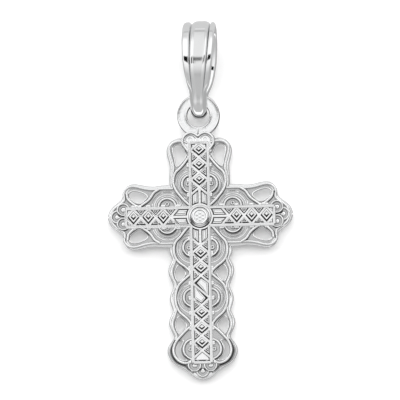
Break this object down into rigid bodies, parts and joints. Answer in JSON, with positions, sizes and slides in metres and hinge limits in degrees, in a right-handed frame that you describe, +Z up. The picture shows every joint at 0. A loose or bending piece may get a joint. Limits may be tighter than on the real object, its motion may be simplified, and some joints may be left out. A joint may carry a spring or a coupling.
{
  "type": "cross pendant",
  "caption": "Cast silver filigree cross with lattice bars, pierced scrolls and a flat ring, hanging in a tapering three-lobed bail for a neck chain.",
  "frame": {"origin": "where a chain bears inside the top of the bail, in the middle of its width", "axes": "+Z up along the hanging pendant, -Y towards the viewer of its front, +X to the viewer's right"},
  "size_m": [0.0156, 0.0044, 0.0301],
  "materials": {
    "polished_silver": "mirror-polished, rhodium-bright silver",
    "cast_silver": "bright cast silver, polished on its wires and ridges and softer in its recesses"
  },
  "bodies": {
    "bail": {"bail": "polished_silver"},
    "cross": {"cross": "cast_silver"}
  },
  "joints": [
    {"name": "cross_swing", "type": "hinge", "parent": "bail", "child": "cross", "pos_m": [0, 0, -0.00597], "axis": [1, 0, 0], "range_deg": [-90, 90]}
  ]
}
